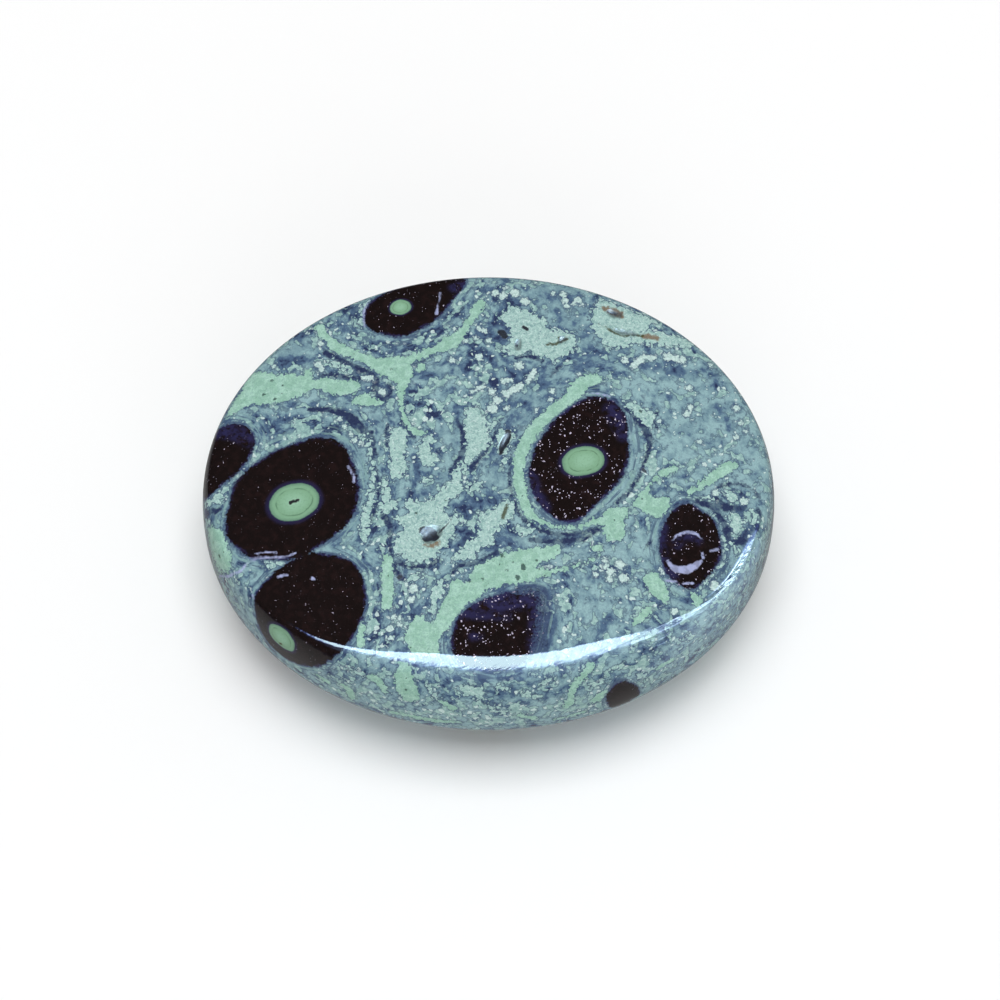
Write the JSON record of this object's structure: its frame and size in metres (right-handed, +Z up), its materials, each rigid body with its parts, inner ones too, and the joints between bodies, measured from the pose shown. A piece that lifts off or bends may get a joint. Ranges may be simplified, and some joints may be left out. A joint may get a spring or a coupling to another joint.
{
  "type": "kambaba jasper palm stone",
  "caption": "Oval polished pebble of green orbicular jasper with a shallow domed face, a broad rounded flank in front and a small flat spot to rest on.",
  "frame": {"origin": "middle of the flat spot that the stone rests on", "axes": "+X along the long axis, +Y away from the broad front flank, +Z up through the domed face"},
  "size_m": [0.06, 0.049, 0.02],
  "materials": {
    "kambaba_jasper": "hand-polished, glossy; slate blue-green with pale mint bands and grains and black-brown orbs with green centres"
  },
  "bodies": {
    "root": {"stone": "kambaba_jasper"}
  },
  "joints": []
}
